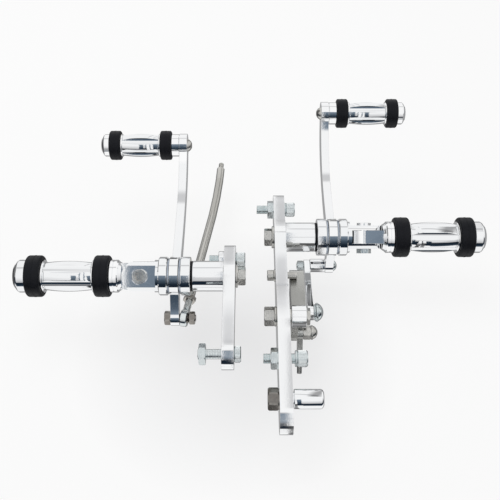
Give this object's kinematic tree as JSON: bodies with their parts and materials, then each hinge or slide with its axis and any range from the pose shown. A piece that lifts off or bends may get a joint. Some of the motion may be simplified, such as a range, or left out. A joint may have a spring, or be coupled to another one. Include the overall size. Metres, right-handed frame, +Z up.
{
  "type": "motorcycle forward controls",
  "caption": "Pair of forward control assemblies: mounting plates, folding fluted foot pegs with rubber rings, a shift lever with rod and a brake pedal with linkage.",
  "frame": {"origin": "on the left plate's inner mounting face, midway between its two mounting bolts", "axes": "+X to the rider's right, +Y forward, +Z up; the left plate's mounting face looks along +X"},
  "size_m": [0.4964, 0.4192, 0.1287],
  "materials": {
    "polished_alloy": "polished",
    "grey_alloy": "satin cast",
    "bare_steel": "satin",
    "zinc_steel": "bright zinc plate",
    "black_rubber": "matte moulded"
  },
  "bodies": {
    "frame_side": {"left_plate": "polished_alloy", "left_front_bolt": "zinc_steel", "left_front_nut": "zinc_steel", "left_rear_bolt": "zinc_steel", "left_rear_nut": "zinc_steel", "left_axle_bolt": "zinc_steel", "left_axle_washer": "zinc_steel", "left_pivot_tube": "polished_alloy", "left_seal_ring": "black_rubber", "left_collar": "polished_alloy", "left_thrust_washers": "grey_alloy", "left_clevis": "polished_alloy", "left_peg_pin": "zinc_steel", "left_peg_nut": "zinc_steel", "right_plate": "polished_alloy", "right_front_bolt": "zinc_steel", "right_front_nut": "zinc_steel", "right_rear_bolt": "zinc_steel", "right_rear_nut": "zinc_steel", "right_axle_bolt": "zinc_steel", "right_axle_washer": "zinc_steel", "right_pivot_tube": "polished_alloy", "right_seal_ring": "black_rubber", "right_collar": "polished_alloy", "right_thrust_washers": "grey_alloy", "right_clevis": "polished_alloy", "right_peg_pin": "zinc_steel", "right_peg_nut": "zinc_steel", "crank_pivot_bolt": "zinc_steel", "crank_stop_screw": "bare_steel", "stand_off_post": "polished_alloy"},
    "left_foot_peg": {"left_peg": "polished_alloy", "left_peg_inner_ring": "black_rubber", "left_peg_outer_ring": "black_rubber", "left_peg_cap": "polished_alloy"},
    "right_foot_peg": {"right_peg": "polished_alloy", "right_peg_inner_ring": "black_rubber", "right_peg_outer_ring": "black_rubber", "right_peg_cap": "polished_alloy"},
    "shift_lever": {"shift_lever": "polished_alloy", "left_toe_peg": "polished_alloy", "left_toe_rings": "black_rubber", "left_toe_bolt": "bare_steel", "shift_link_bolt": "bare_steel", "shift_link_nut": "bare_steel", "rod_end_ball": "bare_steel"},
    "shift_rod": {"shift_rod_end": "bare_steel", "shift_rod": "bare_steel", "rod_jam_nut": "bare_steel"},
    "brake_pedal": {"brake_pedal": "polished_alloy", "right_toe_peg": "polished_alloy", "right_toe_rings": "black_rubber", "right_toe_bolt": "bare_steel", "pedal_link_bolt": "bare_steel", "link_spacer": "polished_alloy"},
    "brake_link": {"brake_link": "polished_alloy"},
    "brake_crank": {"brake_crank": "grey_alloy", "crank_link_bolt": "zinc_steel", "push_rod_bolt": "bare_steel"},
    "push_rod": {"push_rod": "grey_alloy"}
  },
  "joints": [
    {"name": "left_peg_fold", "type": "hinge", "parent": "frame_side", "child": "left_foot_peg", "pos_m": [-0.0976, 0.0375, 0], "axis": [0, 0.682, -0.7314], "range_deg": [0, 85]},
    {"name": "right_peg_fold", "type": "hinge", "parent": "frame_side", "child": "right_foot_peg", "pos_m": [0.1386, 0.0935, 0], "axis": [0, -0.7314, -0.682], "range_deg": [0, 85]},
    {"name": "shift_pivot", "type": "hinge", "parent": "frame_side", "child": "shift_lever", "pos_m": [-0.0628, 0.0375, 0], "axis": [1, 0, 0], "range_deg": [-10, 10]},
    {"name": "rod_swivel", "type": "hinge", "parent": "shift_lever", "child": "shift_rod", "pos_m": [-0.05326, 0.0085, -0.033], "axis": [1, 0, 0], "range_deg": [-20, 6]},
    {"name": "brake_pivot", "type": "hinge", "parent": "frame_side", "child": "brake_pedal", "pos_m": [0.1038, 0.0935, 0], "axis": [1, 0, 0], "range_deg": [-8, 0], "stiffness_Nm_per_rad": 3, "springref_deg": 17.19},
    {"name": "link_swing", "type": "hinge", "parent": "brake_pedal", "child": "brake_link", "pos_m": [0.07875, 0.0925, -0.045], "axis": [1, 0, 0], "range_deg": [0, 12.8]},
    {"name": "crank_pivot", "type": "hinge", "parent": "frame_side", "child": "brake_crank", "pos_m": [0.06325, -0.0152, 0], "axis": [1, 0, 0], "range_deg": [-9, 0]},
    {"name": "push_rod_swing", "type": "hinge", "parent": "brake_crank", "child": "push_rod", "pos_m": [0.06605, -0.011, -0.032], "axis": [1, 0, 0], "range_deg": [-15, 15]}
  ],
  "couplings": [
    {"joint": "link_swing", "follows": "brake_pivot", "ratio": -1.58},
    {"joint": "crank_pivot", "follows": "brake_pivot", "ratio": 1.1}
  ]
}
